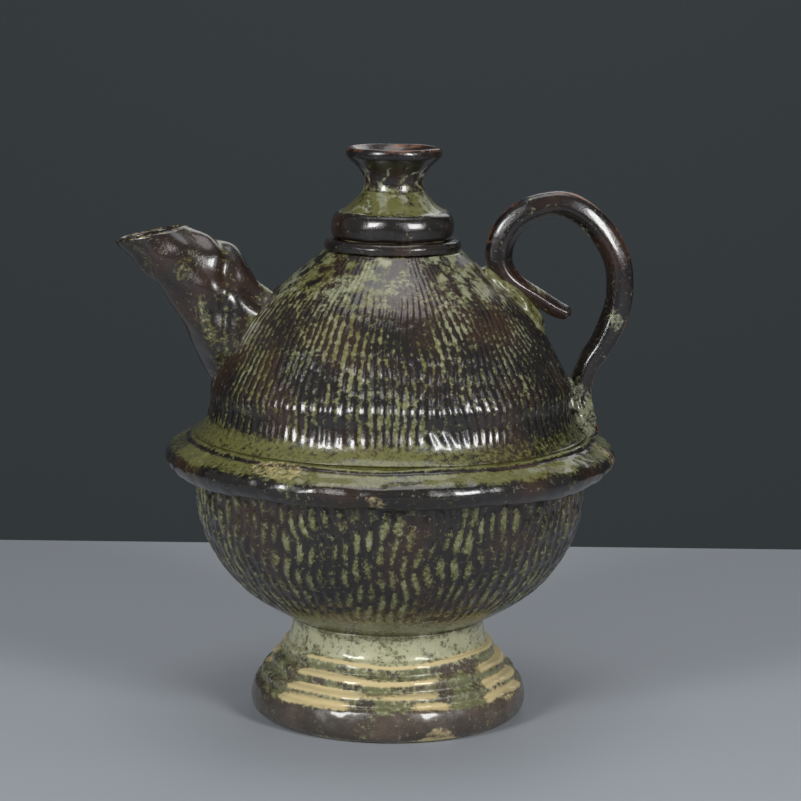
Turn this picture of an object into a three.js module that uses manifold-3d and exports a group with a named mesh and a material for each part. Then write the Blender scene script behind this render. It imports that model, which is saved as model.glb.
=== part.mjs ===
// A footed ceramic teapot: hollow pedestal foot, bowl, thick waist ring, domed shoulder,
// hand-squeezed spout, looped coil handle, and a loose lid with a flared knob.
// Millimetres, +Z up, standing on z = 0. The spout points along -X and the handle along +X.

import * as THREE from "three";
import { mergeVertices } from "three/addons/utils/BufferGeometryUtils.js";
import Module from "manifold-3d";

const wasm = await Module();
wasm.setup();

// Driving sizes
const SIDES = 40;
const TOUCH_GAP = 0.3;
const WALL = 5.5;

const FOOT_HEIGHT = 40;
const FOOT_RADIUS = 56.1;
const FOOT_REST_RADIUS = 51.5;
const FOOT_RIM_WIDTH = 7.5;
const FOOT_WAIST_RADIUS = 39.3;
const FOOT_HOLLOW_DEPTH = 32;

const BOWL_RADIUS = 78.2;
const BOWL_TOP = 100;
const BOWL_ROUND_HEIGHT = 52;

const RING_HEIGHT = 16;
const RING_RADIUS = 91.4;
const RING_BORE = 69;

const DOME_FOOT_RADIUS = 79.6;
const DOME_WALL_RADIUS = 72.8;
const DOME_HEIGHT = 73;

const NECK_BORE = 22.5;
const COLLAR_RADIUS = 27.6;
const COLLAR_HEIGHT = 4.8;

const LID_ROLL_RADIUS = 24.8;
const LID_HEIGHT = 19.2;
const LID_HOLLOW_RADIUS = 15.5;
const LID_HOLLOW_DEPTH = 10;
const SPIGOT_CLEARANCE = 1.7;
const SPIGOT_DEPTH = 8;
const KNOB_WAIST_RADIUS = 11.7;
const KNOB_RADIUS = 19.4;
const KNOB_HEIGHT = 17.2;
const KNOB_DISH_DEPTH = 6;

const HANDLE_RADIUS = 5.6;
const HANDLE_WIDTH_RADIUS = 6.4;
const SPOUT_WALL = 4;

// Levels that follow from the sizes above
const BOWL_EQUATOR = FOOT_HEIGHT + BOWL_ROUND_HEIGHT;
const RING_TOP = BOWL_TOP + RING_HEIGHT;
const DOME_TOP = RING_TOP + DOME_HEIGHT;
const COLLAR_TOP = DOME_TOP + COLLAR_HEIGHT;
const LID_TOP = COLLAR_TOP + LID_HEIGHT;
const KNOB_TOP = LID_TOP + KNOB_HEIGHT;

// Turns a closed geometry into a solid with its faces pointing out
function solid(geometry) {
  geometry.deleteAttribute("normal");
  geometry.deleteAttribute("uv");
  const merged = mergeVertices(geometry, 1e-4);
  const index = merged.index.array;
  const kept = [];
  for (let i = 0; i < index.length; i += 3) {
    const [a, b, c] = [index[i], index[i + 1], index[i + 2]];
    if (a !== b && b !== c && c !== a) kept.push(a, b, c);
  }
  const vertProperties = new Float32Array(merged.attributes.position.array);
  const volume = signedVolume(vertProperties, kept);
  if (volume < 0) {
    for (let i = 0; i < kept.length; i += 3) {
      [kept[i], kept[i + 1]] = [kept[i + 1], kept[i]];
    }
  }
  const triVerts = new Uint32Array(kept);
  return new wasm.Manifold(new wasm.Mesh({ numProp: 3, vertProperties, triVerts }));
}

function signedVolume(points, index) {
  const at = (i) => new THREE.Vector3(points[3 * i], points[3 * i + 1], points[3 * i + 2]);
  let sum = 0;
  for (let i = 0; i < index.length; i += 3) {
    sum += at(index[i]).dot(at(index[i + 1]).cross(at(index[i + 2]))) / 6;
  }
  return sum;
}

// A solid turned about the pot's axis from an outline of [radius, height] points
function turned(outline, sides = SIDES) {
  const points = outline.map(([r, z]) => new THREE.Vector2(r, z));
  const geometry = new THREE.LatheGeometry(points, sides);
  geometry.rotateX(Math.PI / 2);
  return solid(geometry);
}

// A smooth curve through a few [radius, height] stations
function smooth(stations, steps) {
  const curve = new THREE.SplineCurve(stations.map(([x, y]) => new THREE.Vector2(x, y)));
  return curve.getPoints(steps).map((p) => [p.x, p.y]);
}

// A quarter of an ellipse below its equator, from the axis side to the equator
function bowlArc(radius, depth, equator, fromRadius, steps) {
  const start = Math.asin(fromRadius / radius);
  const points = [];
  for (let i = 0; i <= steps; i += 1) {
    const angle = start + ((Math.PI / 2 - start) * i) / steps;
    points.push([radius * Math.sin(angle), equator - depth * Math.cos(angle)]);
  }
  return points;
}

// A closed body through rings of points, with a flat cap on each end
function lofted(rings) {
  const count = rings[0].length;
  const positions = [];
  const push = (...points) => points.forEach((p) => positions.push(p.x, p.y, p.z));
  for (let i = 0; i + 1 < rings.length; i += 1) {
    for (let j = 0; j < count; j += 1) {
      const k = (j + 1) % count;
      push(rings[i][j], rings[i + 1][j], rings[i + 1][k]);
      push(rings[i][j], rings[i + 1][k], rings[i][k]);
    }
  }
  for (const [ring, flip] of [[rings[0], false], [rings[rings.length - 1], true]]) {
    const centre = new THREE.Vector3();
    ring.forEach((p) => centre.addScaledVector(p, 1 / count));
    for (let j = 0; j < count; j += 1) {
      const k = (j + 1) % count;
      if (flip) push(centre, ring[k], ring[j]);
      else push(centre, ring[j], ring[k]);
    }
  }
  const geometry = new THREE.BufferGeometry();
  geometry.setAttribute("position", new THREE.Float32BufferAttribute(positions, 3));
  return solid(geometry);
}

// An oval ring between two points of the middle plane, with a half width across it
function ovalRing([lowX, lowZ], [highX, highZ], halfWidth, sides) {
  const centre = new THREE.Vector3((lowX + highX) / 2, 0, (lowZ + highZ) / 2);
  const along = new THREE.Vector3((highX - lowX) / 2, 0, (highZ - lowZ) / 2);
  const ring = [];
  for (let j = 0; j < sides; j += 1) {
    const angle = (2 * Math.PI * j) / sides;
    const point = centre.clone().addScaledVector(along, Math.cos(angle));
    point.y += halfWidth * Math.sin(angle);
    ring.push(point);
  }
  return ring;
}

// A coil along stations of [x, height over the ring, half thickness], in the middle plane
function coil(stations, widthShare, extra, steps, sides) {
  const line = new THREE.CatmullRomCurve3(
    stations.map(([x, z]) => new THREE.Vector3(x, 0, RING_TOP + z)), false, "centripetal");
  const sizes = new THREE.SplineCurve(
    stations.map(([, , half], i) => new THREE.Vector2(i / (stations.length - 1), half)));
  const rings = [];
  for (let i = 0; i <= steps; i += 1) {
    const t = i / steps;
    const centre = line.getPoint(t);
    const way = line.getTangent(t);
    const normal = new THREE.Vector3(-way.z, 0, way.x);
    const half = sizes.getPoint(t).y;
    const ring = [];
    for (let j = 0; j < sides; j += 1) {
      const angle = (2 * Math.PI * j) / sides;
      const point = centre.clone().addScaledVector(normal, (half + extra) * Math.cos(angle));
      point.y = (half * widthShare + extra) * Math.sin(angle);
      ring.push(point);
    }
    rings.push(ring);
  }
  return lofted(rings);
}

// A rounded lump of clay, turned in the middle plane, at [x, height over the ring]
function lump([x, z], [halfLong, halfWide, halfThick], tilt) {
  const geometry = new THREE.SphereGeometry(1, 20, 12);
  geometry.scale(halfLong, halfWide, halfThick);
  geometry.rotateY(tilt);
  geometry.translate(x, 0, RING_TOP + z);
  return solid(geometry);
}

function largest(body) {
  const parts = body.decompose();
  return parts.reduce((best, part) => (part.volume() > best.volume() ? part : best));
}

// Pedestal foot: flat rest rim, heavy roll, throwing ridges up to a narrow waist
const footRidges = [
  [FOOT_RADIUS - 1.1, 13.3],
  [FOOT_RADIUS - 3.6, 14.6],
  [FOOT_RADIUS - 4.4, 17.2],
  [FOOT_RADIUS - 7.6, 18.8],
  [FOOT_RADIUS - 8.7, 22.0],
  [FOOT_RADIUS - 12.1, 24.2],
  [FOOT_RADIUS - 12.8, 27.6],
  [FOOT_WAIST_RADIUS + 1.7, 29.8],
];
const footOutline = [
  [0, FOOT_HOLLOW_DEPTH],
  [FOOT_WAIST_RADIUS - 12, FOOT_HOLLOW_DEPTH - 2],
  [FOOT_WAIST_RADIUS - 4, FOOT_HOLLOW_DEPTH - 11],
  [FOOT_REST_RADIUS - FOOT_RIM_WIDTH - 1.5, 7],
  [FOOT_REST_RADIUS - FOOT_RIM_WIDTH, 0],
  [FOOT_REST_RADIUS, 0],
  [FOOT_RADIUS - 2.4, 1.0],
  [FOOT_RADIUS - 0.5, 3.4],
  [FOOT_RADIUS, 7.2],
  ...footRidges,
  [FOOT_WAIST_RADIUS, 36.5],
  [FOOT_WAIST_RADIUS + 0.7, FOOT_HEIGHT],
  [0, FOOT_HEIGHT],
];
const foot = turned(footOutline);

// Bowl: a half ellipse on the foot, with a straight lip under the waist ring
const bowlDepth = BOWL_ROUND_HEIGHT
  / Math.sqrt(1 - ((FOOT_WAIST_RADIUS + 0.7) / BOWL_RADIUS) ** 2);
const bowlInside = bowlArc(
  BOWL_RADIUS - WALL, BOWL_ROUND_HEIGHT - WALL - 0.5, BOWL_EQUATOR, 0, 10);
const bowl = turned([
  [0, FOOT_HEIGHT],
  ...bowlArc(BOWL_RADIUS, bowlDepth, BOWL_EQUATOR, FOOT_WAIST_RADIUS + 0.7, 10),
  [BOWL_RADIUS, BOWL_TOP],
  [BOWL_RADIUS - WALL, BOWL_TOP],
  ...bowlInside.reverse(),
]);

// Waist ring: a thick rounded flange between bowl and dome
const ring = turned([
  [RING_BORE, BOWL_TOP],
  [RING_RADIUS - 5.4, BOWL_TOP],
  [RING_RADIUS - 1.8, BOWL_TOP + 2.4],
  [RING_RADIUS, BOWL_TOP + 6],
  [RING_RADIUS - 1, BOWL_TOP + 9.3],
  [RING_RADIUS - 3.1, BOWL_TOP + 11],
  [RING_RADIUS - 6.9, BOWL_TOP + 13],
  [DOME_FOOT_RADIUS + 1.4, RING_TOP],
  [RING_BORE, RING_TOP],
  [RING_BORE, BOWL_TOP],
]);

// Dome: flared foot, short upright wall, then a long shoulder up to the neck
const domeOutside = [
  [DOME_FOOT_RADIUS, RING_TOP],
  [DOME_WALL_RADIUS + 3.4, RING_TOP + 3],
  [DOME_WALL_RADIUS + 1.2, RING_TOP + 7],
  [DOME_WALL_RADIUS, RING_TOP + 12],
  [DOME_WALL_RADIUS - 0.2, RING_TOP + 19],
  [DOME_WALL_RADIUS - 3.2, RING_TOP + 25],
  [67.1, RING_TOP + 29.4],
  [60.5, RING_TOP + 41],
  [52.4, RING_TOP + 51.5],
  [43.1, RING_TOP + 60.4],
  [34.7, RING_TOP + 67.3],
  [COLLAR_RADIUS + 0.4, DOME_TOP],
];
const domeInside = smooth([
  [NECK_BORE, DOME_TOP],
  [NECK_BORE + 0.4, DOME_TOP - 6],
  [38, DOME_TOP - 15.5],
  [55, DOME_TOP - 33.5],
  [DOME_WALL_RADIUS - WALL - 1, DOME_TOP - 55],
  [RING_BORE, RING_TOP],
], 12);
const domeBlank = turned([...domeOutside, ...domeInside, domeOutside[0]]);
const domeKeepOut = turned([
  [0, RING_TOP - 30],
  [RING_BORE, RING_TOP - 30],
  [RING_BORE, RING_TOP - TOUCH_GAP],
  ...domeOutside.map(([r, z]) => [r + TOUCH_GAP, z + TOUCH_GAP * 0.7]),
  [0, DOME_TOP + TOUCH_GAP],
]);
const ringKeepOut = turned([
  [0, BOWL_TOP - TOUCH_GAP],
  [RING_RADIUS - 5.4, BOWL_TOP - TOUCH_GAP],
  [RING_RADIUS + TOUCH_GAP, BOWL_TOP + 6],
  [RING_RADIUS - 1 + TOUCH_GAP, BOWL_TOP + 9.3 + TOUCH_GAP],
  [RING_RADIUS - 3.1 + TOUCH_GAP, BOWL_TOP + 11 + TOUCH_GAP],
  [RING_RADIUS - 6.9 + TOUCH_GAP, BOWL_TOP + 13 + TOUCH_GAP],
  [DOME_FOOT_RADIUS + 1.4 + TOUCH_GAP, RING_TOP + TOUCH_GAP],
  [0, RING_TOP + TOUCH_GAP],
]);

// Neck collar: the gallery that the lid sits on
const collar = turned([
  [NECK_BORE, DOME_TOP],
  [COLLAR_RADIUS - 0.6, DOME_TOP],
  [COLLAR_RADIUS, DOME_TOP + 1.6],
  [COLLAR_RADIUS, DOME_TOP + 3.4],
  [COLLAR_RADIUS - 1.2, COLLAR_TOP],
  [NECK_BORE, COLLAR_TOP],
  [NECK_BORE, DOME_TOP],
]);

// Spout: a squeezed tube that leaves the dome and ends in a nearly level mouth.
// Each station gives the underside point, the top point and the half width, with heights
// over the ring's top.
const spoutStations = [
  { low: [-62, 12], high: [-38, 54], half: 17 },
  { low: [-72.8, 21.1], high: [-51.6, 59], half: 18 },
  { low: [-81.8, 38.7], high: [-58, 67], half: 16.5 },
  { low: [-92, 53.5], high: [-65, 74.5], half: 14.5 },
  { low: [-101.5, 65], high: [-72.5, 78.2], half: 13 },
  { low: [-109.6, 72.4], high: [-80, 80.8], half: 12.4 },
  { low: [-111.6, 75.5], high: [-81.7, 81.7], half: 12 },
];
function spoutRings(inset) {
  return spoutStations.map(({ low, high, half }) => {
    const span = Math.hypot(high[0] - low[0], high[1] - low[1]);
    const stepX = ((high[0] - low[0]) * inset) / span;
    const stepZ = ((high[1] - low[1]) * inset) / span;
    return ovalRing([low[0] + stepX, RING_TOP + low[1] + stepZ],
      [high[0] - stepX, RING_TOP + high[1] - stepZ], half - inset, 20);
  });
}
function shifted(ring, x, z) {
  return ring.map((p) => new THREE.Vector3(p.x + x, p.y, p.z + z));
}
const boreRings = spoutRings(SPOUT_WALL);
const spoutBore = lofted([
  shifted(boreRings[0], 12, -8),
  ...boreRings,
  shifted(boreRings[boreRings.length - 1], -1.5, 6),
]);
const spout = largest(lofted(spoutRings(0)).subtract(domeKeepOut).subtract(spoutBore));
const dome = largest(domeBlank.subtract(spoutBore));

// Handle: one coil that rises from the ring, loops over and ends in a flat tail on the shoulder
const handleStations = [
  [79.5, -3, 5.2],
  [76.6, 17, 4.9],
  [79.2, 27.2, 5.0],
  [84.6, 35.8, 5.3],
  [90.2, 50.8, HANDLE_RADIUS],
  [91.4, 61, HANDLE_RADIUS],
  [87, 77, HANDLE_RADIUS],
  [75, 89.6, HANDLE_RADIUS],
  [66.1, 92.5, HANDLE_RADIUS],
  [56.5, 90.6, HANDLE_RADIUS],
  [47.5, 85, HANDLE_RADIUS],
  [42.3, 75, HANDLE_RADIUS],
  [43, 64.6, 5.2],
  [50, 58.5, 4.2],
  [59.5, 53.8, 3.4],
  [69.5, 47.6, 2.6],
];
const widthShare = HANDLE_WIDTH_RADIUS / HANDLE_RADIUS;
const handleBlank = coil(handleStations, widthShare, 0, 56, 12);
const handleKeepOut = coil(handleStations, widthShare, TOUCH_GAP, 56, 12);
const handle = largest(handleBlank.subtract(domeKeepOut).subtract(ringKeepOut));

// Clay wads that weld the handle to the shoulder and to the ring
const upperWad = largest(lump([48.5, 53], [20, 11, 8.5], Math.PI / 4)
  .subtract(domeKeepOut).subtract(handleKeepOut));
const lowerWad = largest(lump([75.5, 8], [15, 10.5, 7.5], Math.PI / 2.6)
  .subtract(domeKeepOut).subtract(ringKeepOut).subtract(handleKeepOut));

// Lid cap: a rolled edge and a concave cone up to the knob
const lidCap = turned([
  [0, COLLAR_TOP + LID_HOLLOW_DEPTH],
  [LID_HOLLOW_RADIUS * 0.55, COLLAR_TOP + LID_HOLLOW_DEPTH - 1],
  [LID_HOLLOW_RADIUS - 1, COLLAR_TOP + 5],
  [LID_HOLLOW_RADIUS, COLLAR_TOP],
  [LID_ROLL_RADIUS - 1.2, COLLAR_TOP],
  [LID_ROLL_RADIUS - 0.2, COLLAR_TOP + 2.6],
  [LID_ROLL_RADIUS, COLLAR_TOP + 6],
  [LID_ROLL_RADIUS - 0.9, COLLAR_TOP + 9.2],
  [LID_ROLL_RADIUS - 2.6, COLLAR_TOP + 10.8],
  [LID_ROLL_RADIUS - 4.6, COLLAR_TOP + 11.5],
  [LID_ROLL_RADIUS - 6.8, COLLAR_TOP + 13.2],
  [LID_ROLL_RADIUS - 9.2, COLLAR_TOP + 15.4],
  [LID_ROLL_RADIUS - 11, COLLAR_TOP + 17.4],
  [KNOB_WAIST_RADIUS + 0.7, LID_TOP],
  [0, LID_TOP],
]);

// Locating ring under the lid, inside the neck
const spigotRadius = NECK_BORE - SPIGOT_CLEARANCE;
const spigot = turned([
  [LID_HOLLOW_RADIUS, COLLAR_TOP],
  [LID_HOLLOW_RADIUS, COLLAR_TOP - SPIGOT_DEPTH],
  [spigotRadius - 1.4, COLLAR_TOP - SPIGOT_DEPTH],
  [spigotRadius - 0.3, COLLAR_TOP - SPIGOT_DEPTH + 1.6],
  [spigotRadius, COLLAR_TOP],
  [LID_HOLLOW_RADIUS, COLLAR_TOP],
]);

// Knob: a waisted trumpet with a dished top
const knob = turned([
  [0, LID_TOP],
  [KNOB_WAIST_RADIUS + 0.7, LID_TOP],
  [KNOB_WAIST_RADIUS, LID_TOP + 3],
  [KNOB_WAIST_RADIUS + 0.7, LID_TOP + 5.6],
  [KNOB_WAIST_RADIUS + 2, LID_TOP + 8],
  [KNOB_WAIST_RADIUS + 3.8, LID_TOP + 10],
  [KNOB_RADIUS - 1.7, LID_TOP + 12],
  [KNOB_RADIUS - 0.3, LID_TOP + 13.6],
  [KNOB_RADIUS, LID_TOP + 15.2],
  [KNOB_RADIUS - 0.4, LID_TOP + 16.6],
  [KNOB_RADIUS - 1.4, KNOB_TOP],
  [KNOB_RADIUS - 3, KNOB_TOP - 0.8],
  [KNOB_RADIUS * 0.6, KNOB_TOP - KNOB_DISH_DEPTH * 0.6],
  [KNOB_RADIUS * 0.3, KNOB_TOP - KNOB_DISH_DEPTH * 0.93],
  [0, KNOB_TOP - KNOB_DISH_DEPTH],
]);

// Scene graph
const darkGlaze = new THREE.MeshStandardMaterial({ color: 0x2c1a12, roughness: 0.25 });
const oliveGlaze = new THREE.MeshStandardMaterial({ color: 0x4c4526, roughness: 0.3 });
const ashGlaze = new THREE.MeshStandardMaterial({ color: 0x7c7f60, roughness: 0.35 });
const redGlaze = new THREE.MeshStandardMaterial({ color: 0x40180f, roughness: 0.25 });

function mesh(name, body, material) {
  const data = body.getMesh();
  const geometry = new THREE.BufferGeometry();
  geometry.setAttribute("position", new THREE.BufferAttribute(data.vertProperties, 3));
  geometry.setIndex(new THREE.BufferAttribute(data.triVerts, 1));
  geometry.computeVertexNormals();
  const item = new THREE.Mesh(geometry, material);
  item.name = name;
  return item;
}

const pot = new THREE.Group();
pot.add(
  mesh("foot", foot, ashGlaze),
  mesh("bowl", bowl, oliveGlaze),
  mesh("waist_ring", ring, darkGlaze),
  mesh("dome", dome, oliveGlaze),
  mesh("neck_collar", collar, darkGlaze),
  mesh("spout", spout, darkGlaze),
  mesh("handle", handle, redGlaze),
  mesh("handle_upper_wad", upperWad, oliveGlaze),
  mesh("handle_lower_wad", lowerWad, ashGlaze),
);
const lid = new THREE.Group();
lid.add(
  mesh("lid_cap", lidCap, darkGlaze),
  mesh("lid_spigot", spigot, darkGlaze),
  mesh("lid_knob", knob, redGlaze),
);

const teapot = new THREE.Group();
teapot.add(pot, lid);

// The origin is the middle of the base of the whole teapot's box
const extent = new THREE.Box3().setFromObject(teapot);
const centre = extent.getCenter(new THREE.Vector3());
teapot.position.set(-centre.x, -centre.y, -extent.min.z);
teapot.updateMatrixWorld(true);

export default teapot;
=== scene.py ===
import math

import bmesh
import bpy
import numpy as np
from mathutils import Matrix, Vector


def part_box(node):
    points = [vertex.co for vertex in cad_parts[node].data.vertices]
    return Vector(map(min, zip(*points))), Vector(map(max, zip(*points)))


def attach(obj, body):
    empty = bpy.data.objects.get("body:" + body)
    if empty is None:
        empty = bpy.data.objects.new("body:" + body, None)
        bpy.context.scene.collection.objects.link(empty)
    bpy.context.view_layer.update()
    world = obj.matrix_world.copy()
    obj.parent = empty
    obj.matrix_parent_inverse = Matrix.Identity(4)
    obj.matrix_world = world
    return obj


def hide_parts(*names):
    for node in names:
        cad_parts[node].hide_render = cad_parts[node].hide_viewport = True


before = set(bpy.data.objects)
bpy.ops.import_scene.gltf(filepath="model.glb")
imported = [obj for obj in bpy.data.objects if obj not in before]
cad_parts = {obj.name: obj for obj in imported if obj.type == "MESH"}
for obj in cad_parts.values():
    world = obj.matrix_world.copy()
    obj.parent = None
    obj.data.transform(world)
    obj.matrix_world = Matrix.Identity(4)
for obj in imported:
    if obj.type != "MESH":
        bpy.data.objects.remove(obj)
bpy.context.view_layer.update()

MM = 0.001
TURN = 2 * math.pi


def box(node):
    low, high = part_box(node)
    return np.array(low), np.array(high)


def top_of(node):
    return box(node)[1][2]


def radius_of(node):
    low, high = box(node)
    return (high[1] - low[1]) / 2


# Levels and radii read from the boxes of the solid part, in metres
FOOT_LOW, FOOT_HIGH = box("foot")
AXIS_X = (FOOT_LOW[0] + FOOT_HIGH[0]) / 2
FOOT_TOP = top_of("foot")
BOWL_TOP = top_of("bowl")
RING_TOP = top_of("waist_ring")
DOME_TOP = top_of("dome")
COLLAR_TOP = top_of("neck_collar")
LID_TOP = top_of("lid_cap")
KNOB_TOP = top_of("lid_knob")
SPIGOT_LOW = box("lid_spigot")[0][2]
FOOT_R = radius_of("foot")
BOWL_R = radius_of("bowl")
RING_R = radius_of("waist_ring")
DOME_FOOT_R = radius_of("dome")
COLLAR_R = radius_of("neck_collar")
LID_R = radius_of("lid_cap")
KNOB_R = radius_of("lid_knob")
SPIGOT_R = radius_of("lid_spigot")

# Inside sizes of the solid part, which its boxes don't show
WALL = 5.5 * MM
FOOT_HOLLOW = 32 * MM
RING_BORE = 69 * MM
NECK_BORE = 22.5 * MM
LID_HOLLOW_R = 15.5 * MM

# Fineness of the meshes: points round a piece and steps between two stations of a curve
POT_COLUMNS = 600
LID_COLUMNS = 400
COLLAR_COLUMNS = 300
SPIGOT_COLUMNS = 240
SPOUT_COLUMNS = 200
HANDLE_COLUMNS = 64
WAD_COLUMNS = 96
CURVE_STEPS = 24
WELD_DISTANCE = 1e-6
AXIS_LIMIT = 1e-5


# Smooth repeatable noise with a spread of about 1: a sum of waves in random directions, their
# lengths near the given size
def waves(points, size, seed, count=10):
    rng = np.random.default_rng(seed)
    total = np.zeros(points.shape[:-1])
    for _ in range(count):
        way = rng.normal(size=3)
        way *= TURN / (size * rng.uniform(0.7, 1.5) * np.linalg.norm(way))
        total += np.sin(points @ way + rng.uniform(0, TURN))
    return total / math.sqrt(count / 2)


# A repeatable number from 0 to 1 for each pair of whole numbers
def scatter(a, b, seed):
    value = np.sin(a * 12.9898 + b * 78.233 + seed * 3.7) * 43758.5453
    return value - np.floor(value)


# 0 below low, 1 above high, and smooth between them
def ramp(value, low, high):
    t = np.clip((value - low) / (high - low), 0, 1)
    return t * t * (3 - 2 * t)


# A smooth hump of height 1 round a middle value
def bell(value, middle, half):
    return np.exp(-((value - middle) / half) ** 2)


# A smooth curve through stations, with steps of equal length
def smooth(stations, count):
    p = np.array(stations, float)
    p = np.vstack([2 * p[0] - p[1], p, 2 * p[-1] - p[-2]])
    fine = []
    for i in range(1, len(p) - 2):
        for t in np.linspace(0, 1, CURVE_STEPS, endpoint=False):
            a, b, c, d = p[i - 1], p[i], p[i + 1], p[i + 2]
            fine.append(0.5 * (2 * b + (c - a) * t + (2 * a - 5 * b + 4 * c - d) * t * t
                               + (3 * b - a - 3 * c + d) * t ** 3))
    fine.append(p[-2])
    return resample(np.array(fine), count)


# The same line with its points at equal distances
def resample(points, count):
    steps = np.linalg.norm(np.diff(points, axis=0), axis=1)
    length = np.concatenate([[0], np.cumsum(steps)])
    at = np.linspace(0, length[-1], count)
    columns = [np.interp(at, length, points[:, k]) for k in range(points.shape[1])]
    return np.stack(columns, axis=1)


# A mesh object from a grid of points. It is closed round the columns. With loop it is also
# closed from the last row to the first, and with caps its first and last row are filled.
def grid_object(name, grid, colours, material, body, node, loop=True, caps=False):
    rows, columns = grid.shape[:2]
    index = np.arange(rows * columns).reshape(rows, columns)
    right = np.roll(index, -1, axis=1)
    if loop:
        down = np.roll(index, -1, axis=0)
        down_right = np.roll(right, -1, axis=0)
        faces = np.stack([index, right, down_right, down], axis=-1).reshape(-1, 4)
    else:
        faces = np.stack(
            [index[:-1], right[:-1], right[1:], index[1:]], axis=-1).reshape(-1, 4)
    faces = faces.tolist()
    points = grid.reshape(-1, 3)
    tints = colours.reshape(-1, 3)
    if caps:
        faces.append(index[0][::-1].tolist())
        faces.append(index[-1].tolist())
    mesh = bpy.data.meshes.new(name)
    mesh.from_pydata(points.tolist(), [], faces)
    layer = mesh.attributes.new("glaze", "FLOAT_COLOR", "POINT")
    rgba = np.concatenate([np.clip(tints, 0, 1), np.ones((len(tints), 1))], axis=1)
    layer.data.foreach_set("color", rgba.astype(np.float32).ravel())
    work = bmesh.new()
    work.from_mesh(mesh)
    bmesh.ops.remove_doubles(work, verts=work.verts, dist=WELD_DISTANCE)
    bmesh.ops.recalc_face_normals(work, faces=work.faces)
    for face in work.faces:
        face.smooth = True
    work.to_mesh(mesh)
    work.free()
    piece = bpy.data.objects.new(name, mesh)
    bpy.context.scene.collection.objects.link(piece)
    mesh.materials.append(material)
    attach(piece, body)
    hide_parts(node)
    return piece


# A turned piece: the outside outline takes the relief, the inside stays smooth.
# relief(points, turn, radius, height) gives the outward lift and the three colour shares.
def turned(name, outside, inside, relief, material, body, node,
           columns=POT_COLUMNS):
    outline = np.vstack([outside, inside])
    angle = np.linspace(0, TURN, columns, endpoint=False)
    radius = np.repeat(outline[:, :1], columns, axis=1)
    height = np.repeat(outline[:, 1:], columns, axis=1)
    turn = np.repeat(angle[None], len(outline), axis=0)
    points = np.stack([radius * np.cos(turn), radius * np.sin(turn), height], axis=-1)
    ahead = np.roll(outline, -1, axis=0) - np.roll(outline, 1, axis=0)
    ahead /= np.maximum(np.linalg.norm(ahead, axis=1, keepdims=True), 1e-9)
    normal = np.stack([ahead[:, 1], -ahead[:, 0]], axis=1)
    lift, colours = relief(points, turn, radius, height)
    inner = np.arange(len(outline)) >= len(outside)
    lift[inner] = 0
    lift[0] = 0
    lift[len(outside) - 1] = 0
    lift = np.where(radius < AXIS_LIMIT, 0, lift)
    out = radius + lift * normal[:, :1]
    points = np.stack([
        AXIS_X + out * np.cos(turn), out * np.sin(turn), height + lift * normal[:, 1:]],
        axis=-1)
    return grid_object(name, points, colours, material, body, node)


# The colour attribute: how much green glaze, ash glaze and bare clay each point shows
def shares(green, ash, bare):
    return np.stack([np.clip(green, 0, 1), np.clip(ash, 0, 1), np.clip(bare, 0, 1)], axis=-1)


# Rows of short upright cuts, staggered from column to column: 1 in the middle of a cut and 0
# between cuts. run is the way along the outline, pitch the length from one cut to the next.
def cuts(turn, run, columns, pitch, seed, sway, slant=0.0, stretch=1.0):
    across = turn / TURN * columns + sway + slant * run / pitch
    column = np.floor(across)
    side = across - column - 0.5
    label = np.mod(column, columns)
    along = run / pitch + scatter(label, 0 * label, seed)
    row = np.floor(along)
    part = along - row - 0.5
    wide = 0.26 + 0.16 * scatter(label, row, seed + 1)
    long = (0.36 + 0.16 * scatter(label, row, seed + 2)) * stretch
    return np.clip(1.15 - (side / wide) ** 2 - (part / long) ** 2, 0, 1)


COAT_WEIGHT = 0.5
COAT_ROUGHNESS = 0.07
GLAZE_IOR = 1.5
BUMP_STRENGTH = 0.4
BUMP_DISTANCE = 0.4 * MM
BROAD_SCALE = 38.0
MIDDLE_SCALE = 520.0
FINE_SCALE = 1500.0
FINE_SHARE = 0.35
DEEPER = 1.6
BARE_MATTE = 0.45
GREEN_MATTE = 0.12


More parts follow.
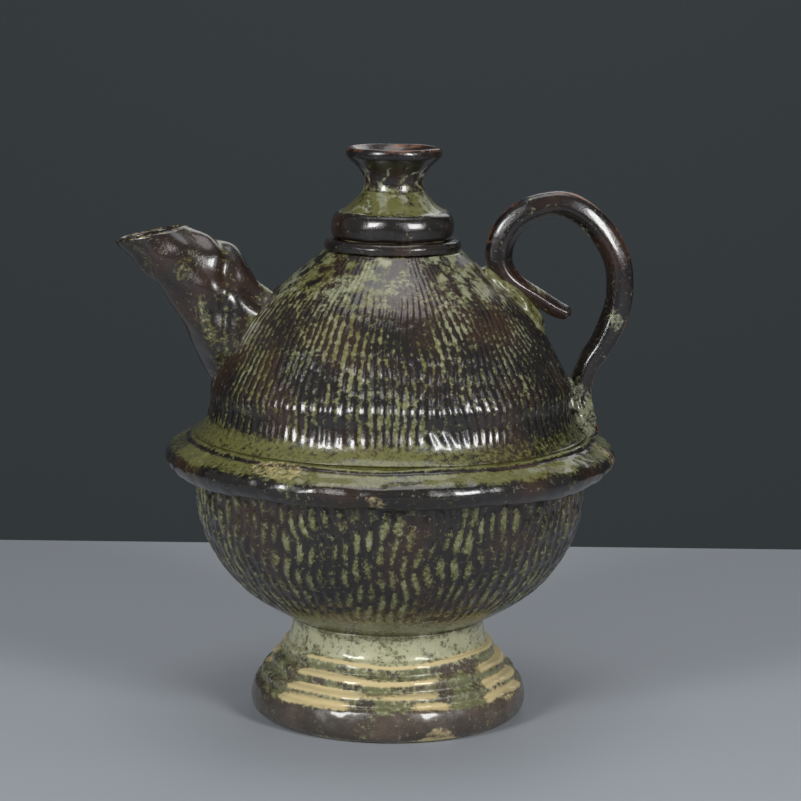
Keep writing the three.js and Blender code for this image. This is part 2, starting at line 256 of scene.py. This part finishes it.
# Node material: a dark glaze that breaks to warm brown, with green, ash and bare clay where
# the colour attribute has them, their edges made ragged by noise
def glaze(name, dark, warm, green, ash, bare, rough):
    material = bpy.data.materials.new(name)
    material.use_nodes = True
    tree = material.node_tree
    nodes, links = tree.nodes, tree.links
    shader = nodes["Principled BSDF"]
    shader.inputs["Coat Weight"].default_value = COAT_WEIGHT
    shader.inputs["Coat Roughness"].default_value = COAT_ROUGHNESS
    shader.inputs["IOR"].default_value = GLAZE_IOR

    def add(kind, **values):
        node = nodes.new(kind)
        for key, value in values.items():
            setattr(node, key, value)
        return node

    def noise(scale, detail, rough_share=0.55):
        node = add("ShaderNodeTexNoise")
        node.inputs["Scale"].default_value = scale
        node.inputs["Detail"].default_value = detail
        node.inputs["Roughness"].default_value = rough_share
        links.new(coordinates.outputs["Object"], node.inputs["Vector"])
        return node.outputs["Fac"]

    def limits(value, low, high, to_low=0.0, to_high=1.0):
        node = add("ShaderNodeMapRange")
        node.interpolation_type = "SMOOTHSTEP"
        links.new(value, node.inputs["Value"])
        node.inputs["From Min"].default_value = low
        node.inputs["From Max"].default_value = high
        node.inputs["To Min"].default_value = to_low
        node.inputs["To Max"].default_value = to_high
        return node.outputs["Result"]

    def math_node(kind, a, b):
        node = add("ShaderNodeMath", operation=kind)
        for socket, value in zip(node.inputs, (a, b)):
            if isinstance(value, float):
                socket.default_value = value
            else:
                links.new(value, socket)
        return node.outputs[0]

    def blend(share, first, second):
        node = add("ShaderNodeMix", data_type="RGBA")
        links.new(share, node.inputs["Factor"])
        for key, value in (("A", first), ("B", second)):
            socket = [s for s in node.inputs if s.name == key and s.type == "RGBA"][0]
            if isinstance(value, tuple):
                socket.default_value = (*value, 1)
            else:
                links.new(value, socket)
        return [s for s in node.outputs if s.type == "RGBA"][0]

    coordinates = add("ShaderNodeTexCoord")
    painted = add("ShaderNodeAttribute", attribute_name="glaze")
    split = add("ShaderNodeSeparateColor")
    links.new(painted.outputs["Color"], split.inputs["Color"])
    broad = noise(BROAD_SCALE, 3.0)
    middle = noise(MIDDLE_SCALE, 6.0, 0.72)
    fine = noise(FINE_SCALE, 4.0)

    def ragged(value, amount):
        shaken = math_node("MULTIPLY", math_node("SUBTRACT", middle, 0.5), amount)
        return limits(math_node("ADD", value, shaken), 0.22, 0.78)

    green_share = ragged(split.outputs["Red"], 2.6)
    ash_share = ragged(split.outputs["Green"], 2.8)
    bare_share = ragged(split.outputs["Blue"], 1.3)
    grain = math_node("MULTIPLY", fine, FINE_SHARE)
    warm_share = limits(math_node("ADD", broad, grain), 0.6, 0.85)
    tone = blend(warm_share, dark, warm)
    tone = blend(green_share, tone, green)
    tone = blend(ash_share, tone, ash)
    speck = limits(fine, 0.6, 0.75, 0.0, 0.5)
    deep = tuple(part * DEEPER for part in dark)
    tone = blend(speck, tone, deep)
    tone = blend(bare_share, tone, bare)
    links.new(tone, shader.inputs["Base Color"])
    matte = math_node("ADD", math_node("MULTIPLY", bare_share, BARE_MATTE),
                      math_node("MULTIPLY", green_share, GREEN_MATTE))
    links.new(math_node("ADD", matte, rough), shader.inputs["Roughness"])
    bump = add("ShaderNodeBump")
    bump.inputs["Strength"].default_value = BUMP_STRENGTH
    bump.inputs["Distance"].default_value = BUMP_DISTANCE
    links.new(math_node("ADD", middle, grain), bump.inputs["Height"])
    links.new(bump.outputs["Normal"], shader.inputs["Normal"])
    return material


# Colours of the glazes and of bare clay
DOME_DARK = (0.010, 0.008, 0.007)
RING_DARK = (0.011, 0.009, 0.008)
HANDLE_DARK = (0.008, 0.006, 0.006)
FOOT_DARK = (0.048, 0.038, 0.028)
WARM = (0.033, 0.017, 0.011)
HANDLE_WARM = (0.030, 0.014, 0.010)
FOOT_WARM = (0.110, 0.080, 0.060)
OLIVE = (0.118, 0.117, 0.034)
FOOT_OLIVE = (0.150, 0.155, 0.072)
ASH = (0.235, 0.240, 0.155)
FOOT_ASH = (0.400, 0.395, 0.250)
CREAM = (0.540, 0.440, 0.225)
RUST = (0.190, 0.075, 0.036)
dome_glaze = glaze("dome_glaze", DOME_DARK, WARM, OLIVE, ASH, CREAM, 0.17)
dark_glaze = glaze("dark_glaze", RING_DARK, WARM, OLIVE, ASH, CREAM, 0.16)
red_glaze = glaze("red_glaze", HANDLE_DARK, HANDLE_WARM, OLIVE, ASH, RUST, 0.16)
foot_glaze = glaze("foot_glaze", FOOT_DARK, FOOT_WARM, FOOT_OLIVE, FOOT_ASH, CREAM, 0.26)


# Height and half width, in millimetres, of the bare clay bands on the foot's ridges
FOOT_BANDS = ((29.3, 0.8), (23.2, 1.2), (18.0, 1.3), (14.0, 1.7))
WAIST_R = FOOT_R - 16.1 * MM


# Foot: hollow pedestal with throwing ridges, bare clay on the edges of the ridges
def foot_relief(points, turn, radius, height):
    lift = 0.22 * MM * waves(points, 24 * MM, 11) + 0.05 * MM * waves(points, 6 * MM, 12)
    lift = lift * ramp(height, 1 * MM, 5 * MM)
    z = height / MM + 0.5 * waves(points, 40 * MM, 13)
    patch = waves(points, 26 * MM, 14)
    front = 0.45 - 0.45 * np.sin(turn - 0.35)
    bare = np.zeros_like(z)
    for level, half in FOOT_BANDS:
        bare += bell(z, level, half) * ramp(0.8 * patch + front * 1.9, 0.6, 1.4)
    bare += ramp(patch, 1.3, 1.9) * (z < 12) * 0.45 + ramp(2.2 - z, 0, 2) * 0.6
    waist = ramp(z, 26, 32)
    lip = ramp(z, 11, 14) * (1 - waist)
    ash = waist * (0.72 + 0.18 * waves(points, 9 * MM, 15)) + lip * 0.2
    green = waist * 0.75 + lip * (0.62 + 0.2 * waves(points, 10 * MM, 16))
    green = green + (z < 12) * 0.28 * ramp(waves(points, 12 * MM, 17), -0.2, 1.0)
    # Half the ash in the top millimetres of the waist, just under the bowl's overhang: painted
    # shade
    return lift, shares(green, ash * (1 - ramp(z, 37, 40) * 0.5), bare)


foot_outside = smooth([
    (FOOT_R - 4.6 * MM, 0), (FOOT_R - 2.4 * MM, 0.9 * MM), (FOOT_R - 0.5 * MM, 3.4 * MM),
    (FOOT_R, 7.2 * MM), (FOOT_R - 0.7 * MM, 11 * MM), (FOOT_R - 1.8 * MM, 13.2 * MM),
    (FOOT_R - 4.2 * MM, 14.2 * MM), (FOOT_R - 4.2 * MM, 16.6 * MM),
    (FOOT_R - 5.2 * MM, 18.1 * MM), (FOOT_R - 8.4 * MM, 19.0 * MM),
    (FOOT_R - 8.6 * MM, 21.6 * MM), (FOOT_R - 9.6 * MM, 23.4 * MM),
    (FOOT_R - 12.6 * MM, 24.4 * MM), (FOOT_R - 12.8 * MM, 27.4 * MM),
    (FOOT_R - 14.0 * MM, 29.4 * MM), (FOOT_R - 15.8 * MM, 30.4 * MM),
    (FOOT_R - 16.8 * MM, 36.5 * MM), (WAIST_R, FOOT_TOP)], 110)
foot_inside = resample(np.array([
    (0.0, FOOT_TOP), (0.0, FOOT_HOLLOW), (27.3 * MM, 30 * MM), (35.3 * MM, 21 * MM),
    (42.5 * MM, 7 * MM), (44 * MM, 0.0), (FOOT_R - 5.2 * MM, 0.0)]), 40)
turned("foot_body", foot_outside, foot_inside, foot_relief, foot_glaze, "pot", "foot")

# Bowl: half ellipse covered in upright cuts, with a straight lip under the waist ring
BOWL_ROUND = 52 * MM
bowl_depth = BOWL_ROUND / math.sqrt(1 - (WAIST_R / BOWL_R) ** 2)
equator = FOOT_TOP + BOWL_ROUND
start = math.asin(WAIST_R / BOWL_R)
sweep = np.linspace(start, math.pi / 2, 70)
bowl_outside = np.stack(
    [BOWL_R * np.sin(sweep), equator - bowl_depth * np.cos(sweep)], axis=1)
bowl_outside = resample(np.vstack([bowl_outside, [[BOWL_R, BOWL_TOP]]]), 120)
bowl_inside = resample(np.array(
    [(BOWL_R - WALL, BOWL_TOP)]
    + [((BOWL_R - WALL) * math.sin(a), equator - (BOWL_ROUND - WALL) * math.cos(a))
       for a in np.linspace(math.pi / 2, 0, 30)] + [(0.0, FOOT_TOP)]), 40)


def bowl_relief(points, turn, radius, height):
    run = np.arctan2(equator - height, radius) * BOWL_R
    sway = 0.22 * waves(points, 30 * MM, 21)
    cut = cuts(turn, run, 96, 12 * MM, 5, sway, 0.08, 1.15)
    cover = ramp(height, FOOT_TOP + 6 * MM, FOOT_TOP + 15 * MM)
    lift = 0.75 * MM * cut * cover + 0.12 * MM * waves(points, 24 * MM, 22) - 0.4 * MM
    low = 1 - cover
    patch = waves(points, 24 * MM, 23)
    green = cut * cover * (0.50 + 0.2 * patch) + 0.10 * cover + low * (0.55 + 0.2 * patch)
    ash = cut * cover * (0.22 + 0.12 * patch) + low * 0.25
    return lift, shares(green, ash, 0 * green)


turned("bowl_body", bowl_outside, bowl_inside, bowl_relief, dome_glaze, "pot", "bowl")


# Waist ring: thick, uneven roll with a green upper face and a groove by the dome, with painted
# shade (no green) in the groove
def ring_relief(points, turn, radius, height):
    lift = 0.35 * MM * waves(points, 60 * MM, 31) + 0.12 * MM * waves(points, 9 * MM, 32)
    top = ramp(height, RING_TOP - 7.5 * MM, RING_TOP - 4 * MM)
    patch = waves(points, 20 * MM, 33)
    green = top * (0.78 + 0.15 * patch) + (1 - top) * 0.3 * ramp(patch, 0.3, 1.3)
    groove_and_shade = bell(radius, RING_R - 9.2 * MM, 0.9 * MM) * top
    lift = lift - 0.5 * MM * groove_and_shade - 0.6 * MM
    # Painted shade: the groove loses its green glaze and shows the dark glaze
    green = green * (1 - groove_and_shade)
    ash = top * 0.18 * ramp(patch, 0, 1)
    return lift, shares(green, ash, ramp(waves(points, 30 * MM, 34), 1.7, 2.2) * 0.4)


ring_outside = smooth([
    (BOWL_R - 2 * MM, BOWL_TOP), (RING_R - 5.4 * MM, BOWL_TOP + 0.2 * MM),
    (RING_R - 1.8 * MM, BOWL_TOP + 2.4 * MM), (RING_R, BOWL_TOP + 6 * MM),
    (RING_R - 1 * MM, BOWL_TOP + 9.3 * MM), (RING_R - 3.1 * MM, BOWL_TOP + 11 * MM),
    (RING_R - 6.9 * MM, BOWL_TOP + 13 * MM), (RING_R - 10.4 * MM, RING_TOP - 0.6 * MM),
    (RING_R - 13.5 * MM, RING_TOP)], 90)
ring_inside = resample(np.array([
    (RING_R - 14 * MM, RING_TOP), (RING_BORE, RING_TOP), (RING_BORE, BOWL_TOP),
    (BOWL_R - 2.4 * MM, BOWL_TOP)]), 24)
turned("waist_ring_body", ring_outside, ring_inside, ring_relief, dark_glaze, "pot",
       "waist_ring")


# Dome: finer cuts on the wall and shoulder, with green and ash glaze between them and below
# the neck, a dark streak at the front of the neck, and less green on the handle's side
def dome_relief(points, turn, radius, height):
    run = height + (80 * MM - radius) * 0.75
    sway = 0.25 * waves(points, 26 * MM, 41)
    cut = cuts(turn, run, 118, 10 * MM, 8, sway, 0.05, 1.45)
    wall = ramp(height, RING_TOP + 4 * MM, RING_TOP + 9 * MM)
    upper = ramp(height, DOME_TOP - 24 * MM, DOME_TOP - 8 * MM)
    cover = wall * (1 - 0.85 * upper)
    patch = waves(points, 25 * MM, 42)
    small = waves(points, 7 * MM, 43)
    lift = 0.42 * MM * cut * cover + 0.10 * MM * waves(points, 24 * MM, 44) - 0.25 * MM
    shade = 1 - 0.4 * ramp(np.cos(turn), 0.0, 0.7) * (1 - upper)
    gap = (1 - ramp(cut, 0.1, 0.55)) * cover
    green = gap * (0.42 + 0.18 * patch + 0.14 * small) + (1 - wall) * 0.7
    green = green * shade + upper * (0.5 + 0.3 * small)
    ash = gap * (0.13 + 0.16 * patch) + upper * (0.30 + 0.20 * small + 0.15 * patch)
    streak = bell(turn - 1.5 * math.pi, 0.28, 0.22) * upper
    return lift, shares(green * (1 - 0.8 * streak), ash * (1 - 0.8 * streak), 0 * green)


dome_outside = smooth([
    (DOME_FOOT_R - 0.2 * MM, RING_TOP), (76.2 * MM, RING_TOP + 3 * MM),
    (74 * MM, RING_TOP + 7 * MM), (72.8 * MM, RING_TOP + 12 * MM),
    (72.6 * MM, RING_TOP + 19 * MM), (69.6 * MM, RING_TOP + 25 * MM),
    (67.1 * MM, RING_TOP + 29.4 * MM), (60.5 * MM, RING_TOP + 41 * MM),
    (52.4 * MM, RING_TOP + 51.5 * MM), (43.1 * MM, RING_TOP + 60.4 * MM),
    (34.7 * MM, RING_TOP + 67.3 * MM), (COLLAR_R + 0.4 * MM, DOME_TOP)], 140)
dome_inside = smooth([
    (NECK_BORE, DOME_TOP), (NECK_BORE + 0.4 * MM, DOME_TOP - 6 * MM),
    (38 * MM, DOME_TOP - 15.5 * MM), (55 * MM, DOME_TOP - 33.5 * MM),
    (66.3 * MM, DOME_TOP - 55 * MM), (RING_BORE, RING_TOP)], 24)
turned("dome_body", dome_outside, dome_inside, dome_relief, dome_glaze, "pot", "dome")


# Neck collar: a low ring that the lid sits on
def collar_relief(points, turn, radius, height):
    lift = 0.12 * MM * waves(points, 12 * MM, 51) - 0.15 * MM
    patch = waves(points, 16 * MM, 52)
    return lift, shares(0.34 * ramp(patch, 0, 1.4), 0.25 * ramp(patch, 1, 2), 0 * patch)


collar_outside = smooth([
    (COLLAR_R - 2.6 * MM, DOME_TOP), (COLLAR_R - 0.5 * MM, DOME_TOP + 0.4 * MM),
    (COLLAR_R, DOME_TOP + 1.8 * MM), (COLLAR_R, DOME_TOP + 3.2 * MM),
    (COLLAR_R - 1.2 * MM, COLLAR_TOP - 0.1 * MM), (COLLAR_R - 2.6 * MM, COLLAR_TOP)], 26)
collar_inside = resample(np.array([
    (COLLAR_R - 3 * MM, COLLAR_TOP), (NECK_BORE, COLLAR_TOP), (NECK_BORE, DOME_TOP),
    (COLLAR_R - 3 * MM, DOME_TOP)]), 16)
turned("neck_collar_body", collar_outside, collar_inside, collar_relief, dark_glaze, "pot",
       "neck_collar", COLLAR_COLUMNS)


# Lid cap: rolled edge and green concave cone with pale runs
def lid_relief(points, turn, radius, height):
    lift = 0.12 * MM * waves(points, 11 * MM, 61) - 0.15 * MM
    slope = ramp(height, COLLAR_TOP + 10.2 * MM, COLLAR_TOP + 11.6 * MM)
    patch = waves(points, 10 * MM, 62)
    runs = ramp(np.sin(7 * turn + 1.5 * patch), 0.55, 1.0)
    green = slope * (0.78 + 0.15 * patch)
    return lift, shares(green, slope * runs * 0.6, 0 * green)


lid_outside = smooth([
    (LID_R - 3.4 * MM, COLLAR_TOP), (LID_R - 1.2 * MM, COLLAR_TOP + 0.5 * MM),
    (LID_R - 0.2 * MM, COLLAR_TOP + 2.6 * MM), (LID_R, COLLAR_TOP + 6 * MM),
    (LID_R - 0.9 * MM, COLLAR_TOP + 9.2 * MM), (LID_R - 2.6 * MM, COLLAR_TOP + 10.8 * MM),
    (LID_R - 4.6 * MM, COLLAR_TOP + 11.5 * MM), (LID_R - 6.8 * MM, COLLAR_TOP + 13.2 * MM),
    (LID_R - 9.2 * MM, COLLAR_TOP + 15.4 * MM), (LID_R - 11 * MM, COLLAR_TOP + 17.4 * MM),
    (LID_R - 12.4 * MM, LID_TOP)], 70)
lid_inside = resample(np.array([
    (0.0, LID_TOP), (0.0, COLLAR_TOP + 10 * MM), (8.5 * MM, COLLAR_TOP + 9 * MM),
    (14.5 * MM, COLLAR_TOP + 5 * MM), (LID_HOLLOW_R, COLLAR_TOP),
    (LID_R - 3.8 * MM, COLLAR_TOP)]), 30)
turned("lid_cap_body", lid_outside, lid_inside, lid_relief, dark_glaze, "lid", "lid_cap",
       LID_COLUMNS)


# Locating ring under the lid, mostly bare clay
def spigot_relief(points, turn, radius, height):
    lift = 0.08 * MM * waves(points, 9 * MM, 71) - 0.1 * MM
    return lift, shares(0 * lift, 0 * lift, 0.75 + 0.2 * waves(points, 9 * MM, 72))


spigot_outside = resample(np.array([
    (SPIGOT_R - 3 * MM, SPIGOT_LOW), (SPIGOT_R - 1.4 * MM, SPIGOT_LOW + 0.1 * MM),
    (SPIGOT_R - 0.3 * MM, SPIGOT_LOW + 1.6 * MM), (SPIGOT_R, COLLAR_TOP)]), 20)
spigot_inside = resample(np.array([
    (LID_HOLLOW_R, COLLAR_TOP), (LID_HOLLOW_R, SPIGOT_LOW),
    (SPIGOT_R - 3.4 * MM, SPIGOT_LOW)]), 14)
turned("lid_spigot_body", spigot_outside, spigot_inside, spigot_relief, foot_glaze, "lid",
       "lid_spigot", SPIGOT_COLUMNS)


# Knob: waisted, flared and dished, with pale runs on its stem and bare clay on its rim
def knob_relief(points, turn, radius, height):
    lift = 0.07 * MM * waves(points, 16 * MM, 81) - 0.1 * MM
    patch = waves(points, 9 * MM, 82)
    low = 1 - ramp(height, LID_TOP, LID_TOP + 7 * MM)
    runs = ramp(np.sin(6 * turn + 2.0 * patch), 0.3, 1.0)
    stem = 1 - ramp(height, LID_TOP + 8 * MM, LID_TOP + 13 * MM)
    rim = ramp(height, KNOB_TOP - 2.4 * MM, KNOB_TOP - 0.6 * MM)
    green = low * 0.6 + stem * runs * 0.5
    return lift, shares(green * 0.7, stem * runs * 0.5, rim * (0.36 + 0.12 * patch))


knob_outside = smooth([
    (12.4 * MM, LID_TOP), (11.7 * MM, LID_TOP + 3 * MM), (12.4 * MM, LID_TOP + 5.6 * MM),
    (13.7 * MM, LID_TOP + 8 * MM), (15.5 * MM, LID_TOP + 10 * MM),
    (KNOB_R - 1.7 * MM, LID_TOP + 12 * MM), (KNOB_R - 0.3 * MM, LID_TOP + 13.6 * MM),
    (KNOB_R, LID_TOP + 15.2 * MM), (KNOB_R - 0.4 * MM, LID_TOP + 16.6 * MM),
    (KNOB_R - 1.4 * MM, KNOB_TOP), (KNOB_R - 3 * MM, KNOB_TOP - 0.8 * MM),
    (KNOB_R * 0.6, KNOB_TOP - 3.6 * MM), (KNOB_R * 0.3, KNOB_TOP - 5.6 * MM),
    (0.0, KNOB_TOP - 6 * MM)], 110)
knob_inside = np.array([(0.0, LID_TOP)])
turned("lid_knob_body", knob_outside, knob_inside, knob_relief, red_glaze, "lid",
       "lid_knob", LID_COLUMNS)


# Spout: squeezed tube with two spiral folds, outside and bore in one closed skin.
# Stations: low x and z, high x and z, half width, in millimetres from the pot's axis.
SPOUT_STATIONS = [
    (-60, 130, -40, 168, 15.5), (-72.8, 137.1, -51.6, 174, 17), (-81.8, 154.7, -57.5, 181, 16),
    (-92, 169.5, -63.5, 189.5, 14.3), (-101.5, 181, -71.5, 193.4, 12.8),
    (-109.2, 188.4, -79.5, 196.3, 12.0), (-111.2, 191.3, -81.9, 197.4, 11.4)]
SPOUT_ROWS = 120
SPOUT_WALL = 3.6 * MM
SPOUT_TWIST = 3.4
FOLD_DEPTH = 2.8 * MM
LIP_ROWS = 5
LIP_RISE = 0.9 * MM


# One skin of the spout, inset from the outside, with its folds and lumps scaled by folded
def spout_skin(inset, folded):
    stations = smooth(SPOUT_STATIONS, SPOUT_ROWS) * MM
    stations[:, [0, 2]] += AXIS_X
    around = np.linspace(0, TURN, SPOUT_COLUMNS, endpoint=False)
    rows = []
    tint = []
    for i, (low_x, low_z, high_x, high_z, half) in enumerate(stations):
        t = i / (len(stations) - 1)
        centre = np.array([(low_x + high_x) / 2, 0, (low_z + high_z) / 2])
        along = np.array([(high_x - low_x) / 2, 0, (high_z - low_z) / 2])
        size = np.linalg.norm(along)
        way = along / size
        twist = SPOUT_TWIST * t
        fold = bell(np.mod(around - 0.9 - twist + math.pi, TURN), math.pi, 0.28)
        fold += 0.8 * bell(np.mod(around - 3.6 - twist + math.pi, TURN), math.pi, 0.34)
        fade = min(1, (1 - t) * 7) * folded
        ring = (centre + np.outer(np.cos(around), way * (size - inset))
                + np.outer(np.sin(around), [0, half - inset, 0]))
        outward = ring - centre
        outward /= np.linalg.norm(outward, axis=1, keepdims=True)
        bumps = waves(ring, 13 * MM, 91) * 0.5 * MM * fade
        ring = ring + outward * (bumps - (FOLD_DEPTH * fold * fade))[:, None]
        rows.append(ring)
        patch = waves(ring, 16 * MM, 92)
        root = 1 - ramp(np.full_like(patch, t), 0.05, 0.35)
        green = fold * 0.3 + root * 0.4 + 0.42 * ramp(patch, 0.6, 1.6)
        tint.append(shares(green, 0.5 * ramp(patch, 1.3, 2.1) + root * 0.12,
                           ramp(np.full_like(patch, t), 0.985, 1.0) * 0.3))
    return np.array(rows), np.array(tint)


# The two skins of the spout and the rounded lip between them
def build_spout():
    outer, outer_tint = spout_skin(0, 1)
    inner, inner_tint = spout_skin(SPOUT_WALL, 0.35)
    across = outer[-1] - inner[-1]
    lip = []
    for t in np.linspace(0.15, 0.85, LIP_ROWS):
        rise = np.array([0, 0, LIP_RISE]) * math.sin(math.pi * t)
        lip.append(outer[-1] - across * t + rise)
    grid = np.concatenate([outer, np.array(lip), inner[::-1]])
    tint = np.concatenate([
        outer_tint, np.repeat(outer_tint[-1:], LIP_ROWS, axis=0), inner_tint[::-1] * 0])
    grid_object("spout_body", grid, tint, dark_glaze, "pot", "spout")


build_spout()

# Handle: one ridged coil with a flattened tail.
# Stations: x, z and half thickness, in millimetres from the pot's axis.
HANDLE_STATIONS = [
    (79.5, 114.5, 5.4), (77.2, 123.5, 4.8), (76.4, 133, 4.7), (79.2, 143.2, 4.9),
    (84.6, 151.8, 5.3), (88.0, 159, 5.5), (90.5, 167.5, 5.5), (91.3, 177, 5.5),
    (90.4, 185, 5.5), (87, 193, 5.5), (81.5, 200.2, 5.5), (74.2, 205.8, 5.5),
    (66.1, 208.4, 5.4), (56.5, 206.6, 5.5), (48.8, 202, 5.5), (43.8, 195, 5.6),
    (42.3, 186.5, 5.6), (44.3, 180.4, 5.2), (49.5, 175.6, 4.3), (57.5, 171, 3.6),
    (65, 166.4, 3.5), (71.8, 163.6, 3.0)]
HANDLE_ROWS = 420
HANDLE_HALF = 5.5 * MM
HANDLE_HALF_WIDTH = 6.3 * MM
RIDGES = 5
RIDGE_SHARE = 0.035
ROUND_FROM = 0.985
ROUND_LENGTH = 0.0155


def build_handle():
    path = smooth(HANDLE_STATIONS, HANDLE_ROWS) * MM
    path[:, 0] += AXIS_X
    steps = np.gradient(path[:, :2], axis=0)
    steps /= np.linalg.norm(steps, axis=1, keepdims=True)
    around = np.linspace(0, TURN, HANDLE_COLUMNS, endpoint=False)
    share = np.linspace(0, 1, len(path))
    past = (np.clip(share, ROUND_FROM, 1) - ROUND_FROM) / ROUND_LENGTH
    end_round = np.sqrt(np.clip(1 - past ** 2, 0, 1))
    ridge = 1 + RIDGE_SHARE * np.cos(RIDGES * around)
    rows = []
    for (x, z, half), (step_x, step_z), close in zip(path, steps, end_round):
        normal = np.array([-step_z, 0, step_x])
        wide = HANDLE_HALF_WIDTH * (0.55 + 0.45 * half / HANDLE_HALF)
        rows.append(np.array([x, 0, z])
                    + np.outer(np.cos(around) * half * ridge * close, normal)
                    + np.outer(np.sin(around) * wide * ridge * close, [0, 1, 0]))
    grid = np.array(rows)
    middle_line = np.stack([path[:, 0], 0 * path[:, 0], path[:, 1]], axis=1)[:, None]
    outward = grid - middle_line
    outward /= np.maximum(np.linalg.norm(outward, axis=2, keepdims=True), 1e-6)
    lift = 0.12 * MM * waves(grid, 18 * MM, 101) - 0.1 * MM
    grid = grid + outward * (lift * end_round[:, None])[..., None]
    patch = waves(grid, 17 * MM, 103)
    side = np.cos(around)[None]
    tint = shares(0.3 * ramp(patch, 0.6, 1.6) * (0.6 + 0.4 * side),
                  0.55 * ramp(patch, 1.1, 2.0),
                  0.6 * ramp(-side, 0.55, 1.0) * ramp(patch, -1.0, 0.4))
    grid_object("handle_body", grid, tint, red_glaze, "pot", "handle",
                loop=False, caps=True)


build_handle()


WAD_ROWS = 70
POLE_GAP = 0.02


# A lump of clay pressed between the handle and the pot: centre and half sizes in millimetres,
# turned in the middle plane by tilt
def wad(name, node, centre, halves, tilt, seed, green, ash):
    turn = np.linspace(0, TURN, WAD_COLUMNS, endpoint=False)
    rows = []
    for polar in np.linspace(POLE_GAP, math.pi - POLE_GAP, WAD_ROWS):
        rows.append(np.stack([np.sin(polar) * np.cos(turn), np.sin(polar) * np.sin(turn),
                              np.full_like(turn, np.cos(polar))], axis=1))
    ball = np.array(rows)
    lumpy = 1 + 0.05 * waves(ball, 0.9, seed) + 0.02 * waves(ball, 0.3, seed + 1)
    points = ball * lumpy[..., None] * np.array(halves) * MM
    cos_t, sin_t = math.cos(tilt), math.sin(tilt)
    placed = np.stack([points[..., 0] * cos_t + points[..., 2] * sin_t, points[..., 1],
                       -points[..., 0] * sin_t + points[..., 2] * cos_t], axis=-1)
    placed += np.array([AXIS_X + centre[0] * MM, 0, centre[1] * MM])
    patch = waves(placed, 8 * MM, seed + 2)
    tint = shares(green + 0.2 * patch, ash + 0.15 * patch, 0 * patch)
    grid_object(name, placed, tint, dome_glaze, "pot", node, loop=False, caps=True)


wad("upper_wad_body", "handle_upper_wad", (47.5, 168.5), (19, 10.5, 7.0), math.pi / 4,
    111, 0.75, 0.2)
wad("lower_wad_body", "handle_lower_wad", (75.2, 125), (14, 9.8, 6.4), math.pi / 2.6,
    121, 0.6, 0.55)


# Floor, backdrop, light and camera
def stage_material(name, colour, roughness):
    material = bpy.data.materials.new(name)
    material.use_nodes = True
    shader = material.node_tree.nodes["Principled BSDF"]
    shader.inputs["Base Color"].default_value = (*colour, 1)
    shader.inputs["Roughness"].default_value = roughness
    shader.inputs["Specular IOR Level"].default_value = 0.2
    return material


def stage_sheet(name, corners, material):
    mesh = bpy.data.meshes.new(name)
    mesh.from_pydata(corners, [], [(0, 1, 2, 3)])
    sheet = bpy.data.objects.new(name, mesh)
    bpy.context.scene.collection.objects.link(sheet)
    mesh.materials.append(material)


TABLE_HALF = 3.0
TABLE_BACK = 0.302
TABLE_GREY = (0.31, 0.33, 0.36)
BACKDROP_HALF = 4.0
BACKDROP_Y = 1.3
BACKDROP_LOW = -1.5
BACKDROP_HIGH = 3.0
BACKDROP_GREY = (0.058, 0.068, 0.074)
table_corners = [
    (-TABLE_HALF, -TABLE_HALF, 0), (TABLE_HALF, -TABLE_HALF, 0),
    (TABLE_HALF, TABLE_BACK, 0), (-TABLE_HALF, TABLE_BACK, 0)]
backdrop_corners = [
    (-BACKDROP_HALF, BACKDROP_Y, BACKDROP_LOW), (BACKDROP_HALF, BACKDROP_Y, BACKDROP_LOW),
    (BACKDROP_HALF, BACKDROP_Y, BACKDROP_HIGH), (-BACKDROP_HALF, BACKDROP_Y, BACKDROP_HIGH)]
stage_sheet("table", table_corners, stage_material("table_grey", TABLE_GREY, 0.6))
stage_sheet("backdrop", backdrop_corners,
            stage_material("backdrop_grey", BACKDROP_GREY, 0.9))


def soft_light(name, place, aim, size, power):
    data = bpy.data.lights.new(name, "AREA")
    data.shape = "RECTANGLE"
    data.size, data.size_y = size
    data.energy = power
    lamp = bpy.data.objects.new(name, data)
    bpy.context.scene.collection.objects.link(lamp)
    lamp.location = place
    way = Vector(aim) - Vector(place)
    lamp.rotation_euler = way.to_track_quat("-Z", "Y").to_euler()


AIM = (AXIS_X, 0, 0.12)
SOFTBOX_SIZE = (0.30, 0.46)
SOFTBOX_POWER = 10.5
TOP_POWER = 3.5
BACK_POWER = 2.5
WORLD_STRENGTH = 0.2
soft_light("left_softbox", (-0.76, -0.93, 0.62), AIM, SOFTBOX_SIZE, SOFTBOX_POWER)
soft_light("right_softbox", (0.76, -0.93, 0.62), AIM, SOFTBOX_SIZE, SOFTBOX_POWER)
soft_light("top_softbox", (0.0, 0.1, 1.3), AIM, (0.7, 0.7), TOP_POWER)
soft_light("back_fill", (0.25, 1.1, 0.9), AIM, (0.9, 0.6), BACK_POWER)
world = bpy.data.worlds.new("soft_world")
bpy.context.scene.world = world
world.use_nodes = True
sky = world.node_tree.nodes["Background"]
sky.inputs["Color"].default_value = (0.9, 0.95, 1, 1)
sky.inputs["Strength"].default_value = WORLD_STRENGTH

# Camera: focal length and frame width in pixels, sensor in millimetres, place in metres
FOCAL_PX = 2727.0
FRAME_PX = 801.0
SENSOR = 36.0
CAMERA_BACK = 1.086
CAMERA_UP = 0.3135
CAMERA_SIDE = 3.8 * MM
CAMERA_PITCH = math.radians(9.7)
CAMERA_ROLL = math.radians(0.7)
camera_data = bpy.data.cameras.new("camera")
camera_data.sensor_width = SENSOR
camera_data.lens = SENSOR * FOCAL_PX / FRAME_PX
camera = bpy.data.objects.new("camera", camera_data)
bpy.context.scene.collection.objects.link(camera)
camera.matrix_world = (
    Matrix.Translation((AXIS_X + CAMERA_SIDE, -CAMERA_BACK, CAMERA_UP))
    @ Matrix.Rotation(math.pi / 2 - CAMERA_PITCH, 4, "X")
    @ Matrix.Rotation(CAMERA_ROLL, 4, "Z"))
bpy.context.scene.camera = camera
bpy.context.scene.view_settings.view_transform = "Standard"
